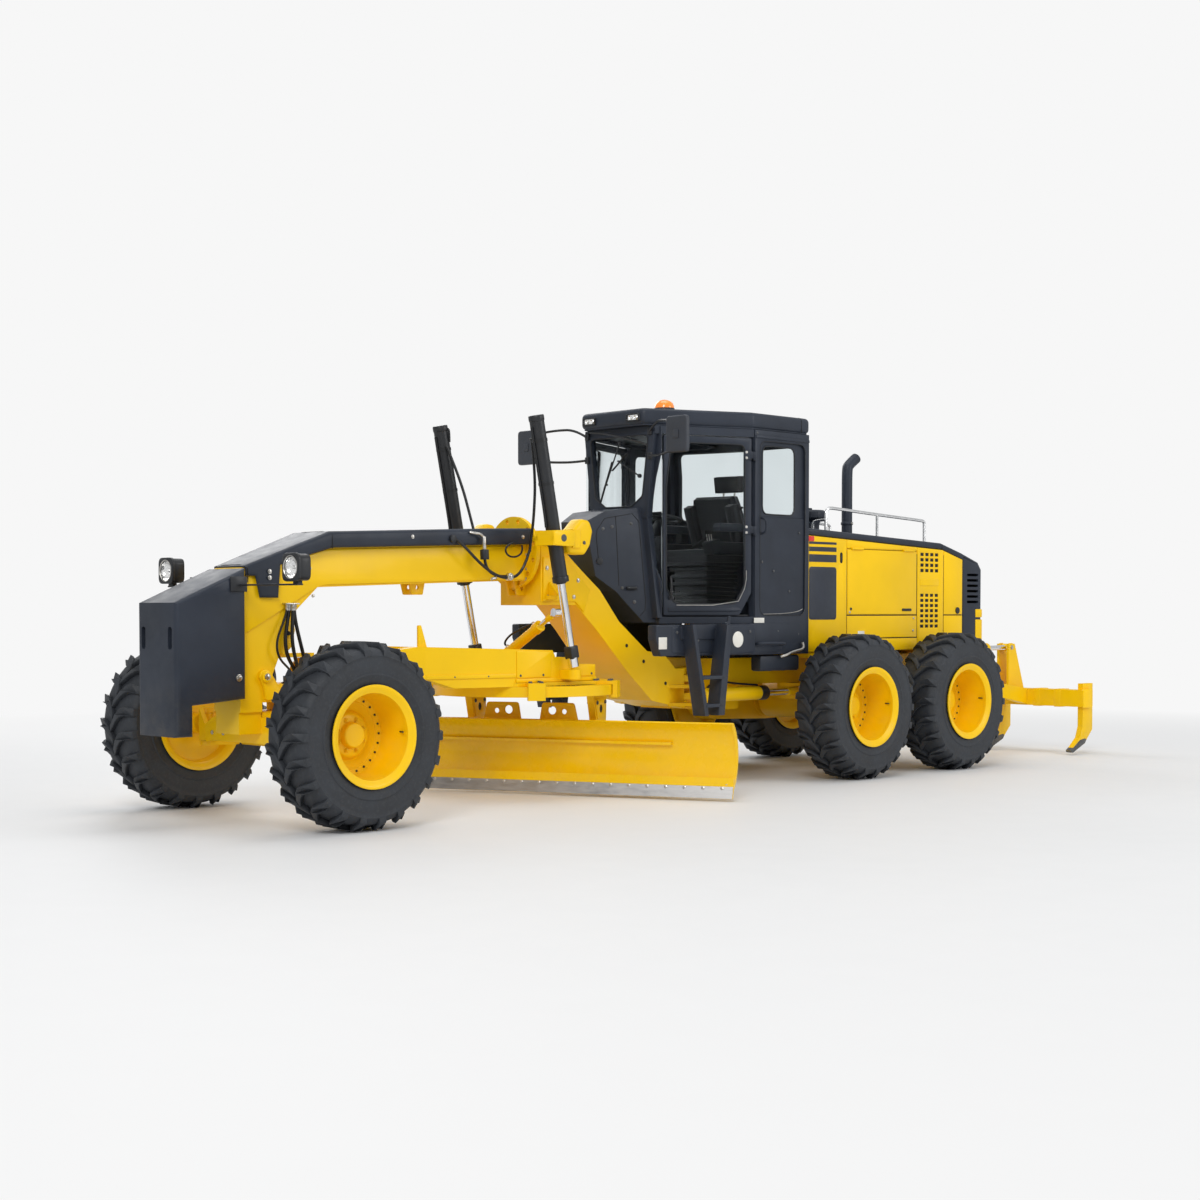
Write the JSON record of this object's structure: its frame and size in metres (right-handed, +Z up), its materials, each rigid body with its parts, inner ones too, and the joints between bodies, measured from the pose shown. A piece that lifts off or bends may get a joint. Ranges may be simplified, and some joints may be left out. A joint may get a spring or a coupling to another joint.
{
  "type": "motor grader",
  "caption": "Articulated road grader with a turning blade under its beam, leaning front wheels, tandem rear wheels, a closed cab and a rear ripper.",
  "frame": {"origin": "on the ground under the middle of the machine's length and width", "axes": "+Z up, +Y towards the ripper at the rear, +X towards the driver's left"},
  "size_m": [3.4348, 10.875, 3.4048],
  "materials": {
    "yellow_paint": "semi-gloss paint",
    "dark_paint": "satin paint",
    "black_paint": "satin paint",
    "plain_steel": "machined steel",
    "rod_chrome": "polished chrome",
    "tyre_rubber": "matt rubber",
    "window_glass": "clear tinted glass",
    "seat_fabric": "woven cloth",
    "engine_iron": "cast and painted"
  },
  "bodies": {
    "rear_frame": {"rear_frame": "yellow_paint", "power_unit": "engine_iron", "hood_shell": "yellow_paint", "hood_top": "dark_paint", "exhaust_and_rails": "dark_paint", "cab_body": "dark_paint", "cab_roof": "dark_paint", "cab_glass": "window_glass", "cab_interior": "dark_paint", "seat_cushions": "seat_fabric", "ladders": "dark_paint", "mirrors": "dark_paint"},
    "front_frame": {"front_frame": "yellow_paint", "beam_cover": "dark_paint", "front_weight": "yellow_paint", "headlamps": "dark_paint"},
    "front_axle": {"front_axle": "yellow_paint"},
    "tie_rod": {"tie_rod": "yellow_paint"},
    "drawbar_pivot": {"drawbar_pivot": "yellow_paint"},
    "drawbar": {"drawbar": "yellow_paint"},
    "circle": {"circle": "yellow_paint"},
    "blade_carrier": {"blade_carrier": "yellow_paint"},
    "moldboard": {"moldboard": "plain_steel"},
    "shift_barrel": {"shift_barrel": "yellow_paint"},
    "shift_rod": {"shift_rod": "rod_chrome"},
    "ripper": {"ripper": "yellow_paint"},
    "ripper_barrels": {"ripper_barrels": "yellow_paint"},
    "ripper_rods": {"ripper_rods": "rod_chrome"},
    "lean_yoke_left": {"lean_yoke_left": "yellow_paint"},
    "knuckle_left": {"knuckle_left": "yellow_paint"},
    "wheel_front_left": {"tyre_front_left": "tyre_rubber", "rim_front_left": "yellow_paint"},
    "lean_yoke_right": {"lean_yoke_right": "yellow_paint"},
    "knuckle_right": {"knuckle_right": "yellow_paint"},
    "wheel_front_right": {"tyre_front_right": "tyre_rubber", "rim_front_right": "yellow_paint"},
    "tandem_left": {"tandem_left": "yellow_paint"},
    "wheel_rear_leading_left": {"tyre_rear_leading_left": "tyre_rubber", "rim_rear_leading_left": "yellow_paint"},
    "wheel_rear_trailing_left": {"tyre_rear_trailing_left": "tyre_rubber", "rim_rear_trailing_left": "yellow_paint"},
    "tandem_right": {"tandem_right": "yellow_paint"},
    "wheel_rear_leading_right": {"tyre_rear_leading_right": "tyre_rubber", "rim_rear_leading_right": "yellow_paint"},
    "wheel_rear_trailing_right": {"tyre_rear_trailing_right": "tyre_rubber", "rim_rear_trailing_right": "yellow_paint"},
    "lift_yoke_left": {"lift_yoke_left": "yellow_paint"},
    "lift_barrel_left": {"lift_barrel_left": "dark_paint"},
    "lift_rod_left": {"lift_rod_left": "rod_chrome"},
    "lift_yoke_right": {"lift_yoke_right": "yellow_paint"},
    "lift_barrel_right": {"lift_barrel_right": "dark_paint"},
    "lift_rod_right": {"lift_rod_right": "rod_chrome"},
    "frame_barrel_left": {"frame_barrel_left": "yellow_paint"},
    "frame_rod_left": {"frame_rod_left": "rod_chrome"},
    "frame_barrel_right": {"frame_barrel_right": "yellow_paint"},
    "frame_rod_right": {"frame_rod_right": "rod_chrome"},
    "cab_door_left": {"cab_door_left": "dark_paint"},
    "engine_door_left": {"engine_door_left": "yellow_paint"},
    "cab_door_right": {"cab_door_right": "dark_paint"},
    "engine_door_right": {"engine_door_right": "yellow_paint"}
  },
  "joints": [
    {"name": "articulation", "type": "hinge", "parent": "rear_frame", "child": "front_frame", "pos_m": [0, -0.0625, 0.85], "axis": [0, 0, -1], "range_deg": [-25, 25]},
    {"name": "axle_oscillation", "type": "hinge", "parent": "front_frame", "child": "front_axle", "pos_m": [0, -4.5125, 0.715], "axis": [0, 1, 0], "range_deg": [-16, 16]},
    {"name": "wheel_lean_left", "type": "hinge", "parent": "front_axle", "child": "lean_yoke_left", "pos_m": [0.69, -4.5125, 0.615], "axis": [0, -1, 0], "range_deg": [-20, 20]},
    {"name": "steering_left", "type": "hinge", "parent": "lean_yoke_left", "child": "knuckle_left", "pos_m": [0.815, -4.5125, 0.665], "axis": [0, 0, 1], "range_deg": [-49, 49]},
    {"name": "roll_front_left", "type": "hinge", "parent": "knuckle_left", "child": "wheel_front_left", "pos_m": [1.1, -4.5125, 0.665], "axis": [1, 0, 0], "continuous": true},
    {"name": "wheel_lean_right", "type": "hinge", "parent": "front_axle", "child": "lean_yoke_right", "pos_m": [-0.69, -4.5125, 0.615], "axis": [0, -1, 0], "range_deg": [-20, 20]},
    {"name": "steering_right", "type": "hinge", "parent": "lean_yoke_right", "child": "knuckle_right", "pos_m": [-0.815, -4.5125, 0.665], "axis": [0, 0, 1], "range_deg": [-49, 49]},
    {"name": "roll_front_right", "type": "hinge", "parent": "knuckle_right", "child": "wheel_front_right", "pos_m": [-1.1, -4.5125, 0.665], "axis": [1, 0, 0], "continuous": true},
    {"name": "tie_rod_travel", "type": "slide", "parent": "front_axle", "child": "tie_rod", "axis": [1, 0, 0], "range_m": [-0.19, 0.19]},
    {"name": "tandem_swing_left", "type": "hinge", "parent": "rear_frame", "child": "tandem_left", "pos_m": [0.73, 1.9675, 0.665], "axis": [1, 0, 0], "range_deg": [-13, 13]},
    {"name": "roll_rear_leading_left", "type": "hinge", "parent": "tandem_left", "child": "wheel_rear_leading_left", "pos_m": [1.1, 1.205, 0.665], "axis": [1, 0, 0], "continuous": true},
    {"name": "roll_rear_trailing_left", "type": "hinge", "parent": "tandem_left", "child": "wheel_rear_trailing_left", "pos_m": [1.1, 2.73, 0.665], "axis": [1, 0, 0], "continuous": true},
    {"name": "tandem_swing_right", "type": "hinge", "parent": "rear_frame", "child": "tandem_right", "pos_m": [-0.73, 1.9675, 0.665], "axis": [1, 0, 0], "range_deg": [-13, 13]},
    {"name": "roll_rear_leading_right", "type": "hinge", "parent": "tandem_right", "child": "wheel_rear_leading_right", "pos_m": [-1.1, 1.205, 0.665], "axis": [1, 0, 0], "continuous": true},
    {"name": "roll_rear_trailing_right", "type": "hinge", "parent": "tandem_right", "child": "wheel_rear_trailing_right", "pos_m": [-1.1, 2.73, 0.665], "axis": [1, 0, 0], "continuous": true},
    {"name": "drawbar_swing", "type": "hinge", "parent": "front_frame", "child": "drawbar_pivot", "pos_m": [0, -4.1625, 1.1], "axis": [0, 0, -1], "range_deg": [-11, 11]},
    {"name": "blade_lift", "type": "hinge", "parent": "drawbar_pivot", "child": "drawbar", "pos_m": [0, -4.1625, 1.1], "axis": [1, 0, 0], "range_deg": [-15.8, 5]},
    {"name": "circle_turn", "type": "hinge", "parent": "drawbar", "child": "circle", "pos_m": [0, -1.9125, 0.9], "axis": [0, 0, 1], "continuous": true},
    {"name": "blade_tip", "type": "hinge", "parent": "circle", "child": "blade_carrier", "pos_m": [-0.08875, -1.72218, 0.33], "axis": [0.9063, 0.4226, 0], "range_deg": [-5, 35]},
    {"name": "blade_side_shift", "type": "slide", "parent": "blade_carrier", "child": "moldboard", "axis": [-0.9063, -0.4226, 0], "range_m": [-0.51, 0.66]},
    {"name": "lift_yoke_tilt_left", "type": "hinge", "parent": "front_frame", "child": "lift_yoke_left", "pos_m": [0.6, -2.1255, 2.13], "axis": [0, 1, 0], "range_deg": [-24, 24]},
    {"name": "lift_barrel_tilt_left", "type": "hinge", "parent": "lift_yoke_left", "child": "lift_barrel_left", "pos_m": [0.6, -2.1255, 2.13], "axis": [1, 0, 0], "range_deg": [-8.1, 3.3]},
    {"name": "lift_rod_travel_left", "type": "slide", "parent": "lift_barrel_left", "child": "lift_rod_left", "axis": [0, 0.2025, -0.9793], "range_m": [-0.2, 0.609]},
    {"name": "lift_yoke_tilt_right", "type": "hinge", "parent": "front_frame", "child": "lift_yoke_right", "pos_m": [-0.6, -2.1255, 2.13], "axis": [0, 1, 0], "range_deg": [-24, 24]},
    {"name": "lift_barrel_tilt_right", "type": "hinge", "parent": "lift_yoke_right", "child": "lift_barrel_right", "pos_m": [-0.6, -2.1255, 2.13], "axis": [1, 0, 0], "range_deg": [-8.1, 3.3]},
    {"name": "lift_rod_travel_right", "type": "slide", "parent": "lift_barrel_right", "child": "lift_rod_right", "axis": [0, 0.2025, -0.9793], "range_m": [-0.2, 0.609]},
    {"name": "shift_barrel_tilt", "type": "hinge", "parent": "drawbar", "child": "shift_barrel", "pos_m": [-0.345, -1.8625, 1.135], "axis": [0, 1, 0], "range_deg": [-29.4, 10]},
    {"name": "shift_rod_travel", "type": "slide", "parent": "shift_barrel", "child": "shift_rod", "axis": [0.8663, 0, 0.4995], "range_m": [-0.115, 0.341]},
    {"name": "frame_barrel_turn_left", "type": "hinge", "parent": "front_frame", "child": "frame_barrel_left", "pos_m": [0.5, -0.2725, 0.79], "axis": [0, 0, -1], "range_deg": [-22.5, 22.5]},
    {"name": "frame_rod_travel_left", "type": "slide", "parent": "frame_barrel_left", "child": "frame_rod_left", "axis": [0, 1, 0], "range_m": [-0.225, 0.225]},
    {"name": "frame_barrel_turn_right", "type": "hinge", "parent": "front_frame", "child": "frame_barrel_right", "pos_m": [-0.5, -0.2725, 0.79], "axis": [0, 0, -1], "range_deg": [-22.5, 22.5]},
    {"name": "frame_rod_travel_right", "type": "slide", "parent": "frame_barrel_right", "child": "frame_rod_right", "axis": [0, 1, 0], "range_m": [-0.225, 0.225]},
    {"name": "cab_door_swing_left", "type": "hinge", "parent": "rear_frame", "child": "cab_door_left", "pos_m": [0.82, 0.1035, 2.3], "axis": [0, 0, 1], "range_deg": [0, 95]},
    {"name": "engine_door_swing_left", "type": "hinge", "parent": "rear_frame", "child": "engine_door_left", "pos_m": [0.762, 2.0775, 2.13], "axis": [0, -1, 0], "range_deg": [0, 75]},
    {"name": "cab_door_swing_right", "type": "hinge", "parent": "rear_frame", "child": "cab_door_right", "pos_m": [-0.82, 0.1035, 2.3], "axis": [0, 0, -1], "range_deg": [0, 95]},
    {"name": "engine_door_swing_right", "type": "hinge", "parent": "rear_frame", "child": "engine_door_right", "pos_m": [-0.762, 2.0775, 2.13], "axis": [0, 1, 0], "range_deg": [0, 75]},
    {"name": "ripper_lift", "type": "hinge", "parent": "rear_frame", "child": "ripper", "pos_m": [0, 3.9575, 0.8], "axis": [1, 0, 0], "range_deg": [-15, 20]},
    {"name": "ripper_barrel_tilt", "type": "hinge", "parent": "rear_frame", "child": "ripper_barrels", "pos_m": [0, 3.9075, 1.12], "axis": [1, 0, 0], "range_deg": [-15.7, 20.6]},
    {"name": "ripper_rod_travel", "type": "slide", "parent": "ripper_barrels", "child": "ripper_rods", "axis": [0, 0.9999, 0.0169], "range_m": [-0.122, 0.094]}
  ],
  "couplings": [
    {"joint": "wheel_lean_right", "follows": "wheel_lean_left", "ratio": 1},
    {"joint": "steering_right", "follows": "steering_left", "ratio": 1},
    {"joint": "tie_rod_travel", "follows": "steering_left", "m_per_rad": -0.20997},
    {"joint": "lift_yoke_tilt_left", "follows": "drawbar_swing", "ratio": -2.0891},
    {"joint": "lift_barrel_tilt_left", "follows": "blade_lift", "ratio": 0.45242},
    {"joint": "lift_rod_travel_left", "follows": "blade_lift", "m_per_rad": -2.1717},
    {"joint": "lift_yoke_tilt_right", "follows": "drawbar_swing", "ratio": -2.0891},
    {"joint": "lift_barrel_tilt_right", "follows": "blade_lift", "ratio": 0.45242},
    {"joint": "lift_rod_travel_right", "follows": "blade_lift", "m_per_rad": -2.1717},
    {"joint": "shift_barrel_tilt", "follows": "blade_lift", "ratio": 1.8},
    {"joint": "shift_rod_travel", "follows": "blade_lift", "m_per_rad": -1.2},
    {"joint": "frame_barrel_turn_left", "follows": "articulation", "ratio": -0.85948},
    {"joint": "frame_rod_travel_left", "follows": "articulation", "m_per_rad": 0.49264},
    {"joint": "frame_barrel_turn_right", "follows": "articulation", "ratio": -0.85948},
    {"joint": "frame_rod_travel_right", "follows": "articulation", "m_per_rad": -0.49264},
    {"joint": "ripper_barrel_tilt", "follows": "ripper_lift", "ratio": 0.98123},
    {"joint": "ripper_rod_travel", "follows": "ripper_lift", "m_per_rad": -0.3197}
  ]
}
